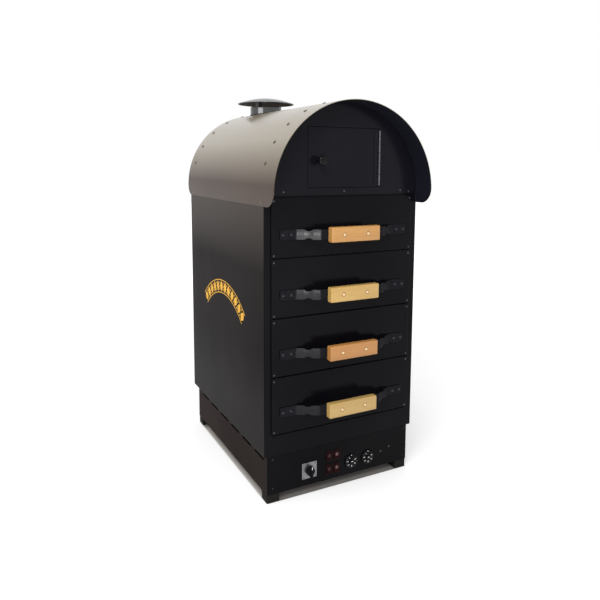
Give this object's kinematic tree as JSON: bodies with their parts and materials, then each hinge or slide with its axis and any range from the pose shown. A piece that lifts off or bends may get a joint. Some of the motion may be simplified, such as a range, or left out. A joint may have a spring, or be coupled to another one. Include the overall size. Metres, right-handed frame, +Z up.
{
  "type": "potato baking oven",
  "caption": "Upright sheet-metal baking oven with stacked pull-out drawers on wooden grips, a plinth with switches and dials, and an arched hood with a warming door and flue.",
  "frame": {"origin": "on the floor, in the middle of the whole part's bounding box as seen from above", "axes": "+X to the oven's right as seen from the front, +Y from the front to the rear, +Z up"},
  "size_m": [0.504, 0.745, 1.1835],
  "materials": {
    "black_paint": "satin black enamel on sheet steel",
    "hood_paint": "smooth semi-gloss dark enamel on the arched sheet",
    "drawer_paint": "satin black enamel",
    "bare_steel": "bare sheet and rod",
    "bright_plate": "satin bright plate",
    "black_strap": "semi-gloss black on bent flat bar",
    "black_plastic": "satin black moulding",
    "red_plastic": "translucent red rocker",
    "gray_plastic": "moulded terminal strip",
    "rubber": "dull black foot",
    "wool": "mineral wool",
    "orange_wood": "clear-coated reddish wood",
    "yellow_wood": "clear-coated pale wood"
  },
  "bodies": {
    "cabinet": {"plinth_shell": "black_paint", "control_panel": "black_paint", "rotary_switch": "bright_plate", "terminal_block": "gray_plastic", "cable_gland": "black_plastic", "side_panel_left": "black_paint", "side_panel_right": "black_paint", "back_panel": "black_paint", "body_floor": "bare_steel", "front_frame": "drawer_paint", "oven_chamber": "bare_steel", "insulation_wrap": "wool", "runner_rack_right": "bare_steel", "runner_rack_left": "bare_steel", "hood_sheet": "hood_paint", "gable_front": "drawer_paint", "gable_rear": "black_paint", "warming_shelf": "bare_steel", "door_hinge": "bare_steel", "flue_pipe": "black_paint", "flue_cap": "black_paint", "foot_front_left": "rubber", "foot_front_right": "rubber", "foot_rear_left": "rubber", "foot_rear_right": "rubber", "thermostat_1": "bare_steel", "thermostat_2": "bare_steel", "rocker_housing_1": "black_plastic", "heating_element_1": "bare_steel", "rocker_housing_2": "black_plastic", "heating_element_2": "bare_steel", "rocker_housing_3": "black_plastic", "heating_element_3": "bare_steel", "rocker_housing_4": "black_plastic", "heating_element_4": "bare_steel"},
    "drawer_1": {"drawer_front_1": "drawer_paint", "drawer_tray_1": "bare_steel", "handle_strap_1": "black_strap", "handle_grip_1": "orange_wood"},
    "drawer_2": {"drawer_front_2": "drawer_paint", "drawer_tray_2": "bare_steel", "handle_strap_2": "black_strap", "handle_grip_2": "yellow_wood"},
    "drawer_3": {"drawer_front_3": "drawer_paint", "drawer_tray_3": "bare_steel", "handle_strap_3": "black_strap", "handle_grip_3": "orange_wood"},
    "drawer_4": {"drawer_front_4": "drawer_paint", "drawer_tray_4": "bare_steel", "handle_strap_4": "black_strap", "handle_grip_4": "yellow_wood"},
    "door": {"warming_door": "drawer_paint", "door_knob": "black_plastic"},
    "selector": {"rotary_knob": "black_plastic"},
    "dial_1": {"thermostat_dial_1": "black_plastic"},
    "dial_2": {"thermostat_dial_2": "black_plastic"},
    "rocker_switch_1": {"rocker_1": "red_plastic"},
    "rocker_switch_2": {"rocker_2": "red_plastic"},
    "rocker_switch_3": {"rocker_3": "red_plastic"},
    "rocker_switch_4": {"rocker_4": "red_plastic"}
  },
  "joints": [
    {"name": "drawer_slide_1", "type": "slide", "parent": "cabinet", "child": "drawer_1", "axis": [0, -1, 0], "range_m": [0, 0.4]},
    {"name": "drawer_slide_2", "type": "slide", "parent": "cabinet", "child": "drawer_2", "axis": [0, -1, 0], "range_m": [0, 0.4]},
    {"name": "drawer_slide_3", "type": "slide", "parent": "cabinet", "child": "drawer_3", "axis": [0, -1, 0], "range_m": [0, 0.4]},
    {"name": "drawer_slide_4", "type": "slide", "parent": "cabinet", "child": "drawer_4", "axis": [0, -1, 0], "range_m": [0, 0.4]},
    {"name": "door_hinge_turn", "type": "hinge", "parent": "cabinet", "child": "door", "pos_m": [0.1126, -0.3058, 0.9735], "axis": [0, 0, 1], "range_deg": [0, 110]},
    {"name": "selector_turn", "type": "hinge", "parent": "cabinet", "child": "selector", "pos_m": [-0.1055, -0.3125, 0.07], "axis": [0, 1, 0], "range_deg": [0, 270]},
    {"name": "dial_turn_1", "type": "hinge", "parent": "cabinet", "child": "dial_1", "pos_m": [0.036, -0.3075, 0.065], "axis": [0, 1, 0], "range_deg": [0, 300]},
    {"name": "dial_turn_2", "type": "hinge", "parent": "cabinet", "child": "dial_2", "pos_m": [0.095, -0.3075, 0.065], "axis": [0, 1, 0], "range_deg": [0, 300]},
    {"name": "rocker_tilt_1", "type": "hinge", "parent": "cabinet", "child": "rocker_switch_1", "pos_m": [-0.03975, -0.2955, 0.098], "axis": [1, 0, 0], "range_deg": [0, 14]},
    {"name": "rocker_tilt_2", "type": "hinge", "parent": "cabinet", "child": "rocker_switch_2", "pos_m": [-0.01425, -0.2955, 0.098], "axis": [1, 0, 0], "range_deg": [0, 14]},
    {"name": "rocker_tilt_3", "type": "hinge", "parent": "cabinet", "child": "rocker_switch_3", "pos_m": [-0.03975, -0.2955, 0.057], "axis": [1, 0, 0], "range_deg": [0, 14]},
    {"name": "rocker_tilt_4", "type": "hinge", "parent": "cabinet", "child": "rocker_switch_4", "pos_m": [-0.01425, -0.2955, 0.057], "axis": [1, 0, 0], "range_deg": [0, 14]}
  ]
}
